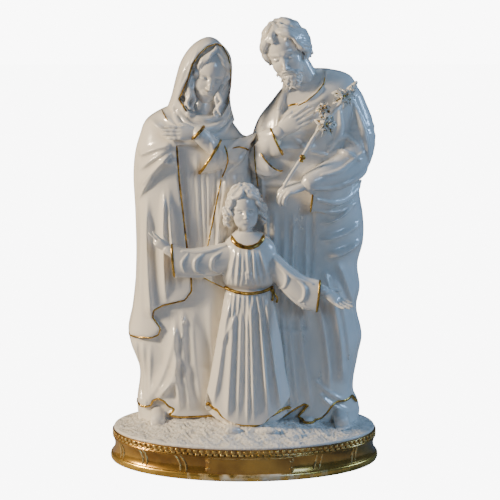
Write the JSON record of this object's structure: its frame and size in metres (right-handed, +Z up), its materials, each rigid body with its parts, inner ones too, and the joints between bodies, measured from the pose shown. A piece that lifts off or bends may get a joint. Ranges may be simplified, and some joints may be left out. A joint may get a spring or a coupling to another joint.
{
  "type": "devotional figure group",
  "caption": "White glazed family group of a veiled woman, a bearded man with lilies and a child with open arms, on a gilt moulded oval plinth.",
  "frame": {"origin": "centre of the oval plinth's underside, on the surface it stands on", "axes": "+Z up, the figures face -Y, +X to the viewer's right"},
  "size_m": [0.244, 0.148, 0.4],
  "materials": {
    "white_glaze": "glossy off-white enamel with thin gold lines",
    "gilt": "glossy brown-gold paint, bright gold on the lip"
  },
  "bodies": {
    "root": {"figure_group": "white_glaze", "plinth": "gilt"}
  },
  "joints": []
}
